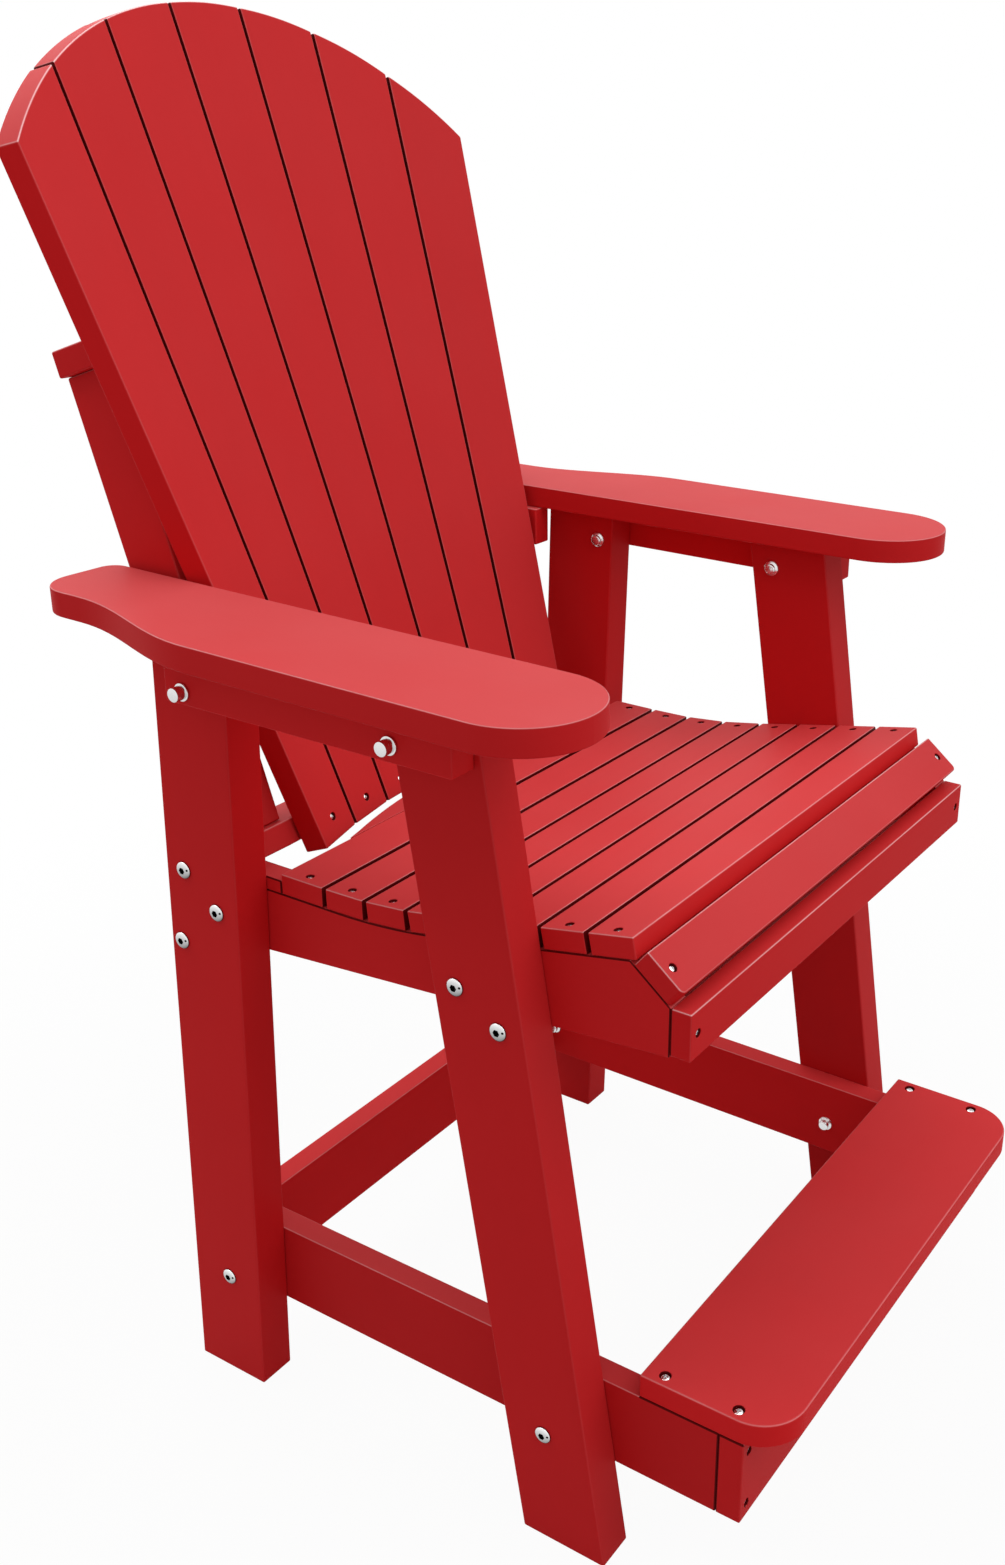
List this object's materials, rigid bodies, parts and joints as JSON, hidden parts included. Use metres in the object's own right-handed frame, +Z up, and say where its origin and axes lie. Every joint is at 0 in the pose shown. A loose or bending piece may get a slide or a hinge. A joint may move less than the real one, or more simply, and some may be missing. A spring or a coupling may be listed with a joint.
{
  "type": "counter-height deck chair",
  "caption": "Tall slatted deck chair in red plastic lumber with a fanned curved back, wide flat arms, dished seat and a front footrest, for sitting at a counter.",
  "frame": {"origin": "on the floor, under the middle of the chair's box", "axes": "+Z up, -Y to the chair's front, +X to the viewer's right when facing the chair"},
  "size_m": [0.7784, 0.8631, 1.3168],
  "materials": {
    "lumber": "satin red plastic lumber",
    "fastener": "plain stainless steel"
  },
  "bodies": {
    "root": {"arm_cleat_left": "lumber", "arm_cleat_right": "lumber", "arm_left": "lumber", "arm_rail_left": "lumber", "arm_rail_right": "lumber", "arm_right": "lumber", "back_rail_lower": "lumber", "back_rail_upper": "lumber", "back_slat_1": "lumber", "back_slat_2": "lumber", "back_slat_3": "lumber", "back_slat_4": "lumber", "back_slat_5": "lumber", "back_slat_6": "lumber", "back_slat_7": "lumber", "back_upright_left": "lumber", "back_upright_right": "lumber", "bolt_arm_front_left": "fastener", "bolt_arm_front_right": "fastener", "bolt_arm_rear_left": "fastener", "bolt_arm_rear_right": "fastener", "bolt_footrest_front_left": "fastener", "bolt_footrest_front_right": "fastener", "bolt_footrest_rear_left": "fastener", "bolt_footrest_rear_right": "fastener", "bolt_rail_left": "fastener", "bolt_rail_right": "fastener", "bolt_seat_front_lower_left": "fastener", "bolt_seat_front_lower_right": "fastener", "bolt_seat_front_upper_left": "fastener", "bolt_seat_front_upper_right": "fastener", "bolt_seat_rear_lower_left": "fastener", "bolt_seat_rear_lower_right": "fastener", "bolt_seat_rear_upper_left": "fastener", "bolt_seat_rear_upper_right": "fastener", "footrest_apron": "lumber", "footrest_board": "lumber", "footrest_rail_left": "lumber", "footrest_rail_right": "lumber", "footrest_stretcher": "lumber", "leg_front_left": "lumber", "leg_front_right": "lumber", "leg_rear_left": "lumber", "leg_rear_right": "lumber", "seat_apron": "lumber", "seat_ledger": "lumber", "seat_nosing": "lumber", "seat_packing_left": "lumber", "seat_packing_right": "lumber", "seat_slat_1": "lumber", "seat_slat_2": "lumber", "seat_slat_3": "lumber", "seat_slat_4": "lumber", "seat_slat_5": "lumber", "seat_slat_6": "lumber", "seat_slat_7": "lumber", "seat_slat_8": "lumber", "seat_stringer_left": "lumber", "seat_stringer_right": "lumber"}
  },
  "joints": []
}
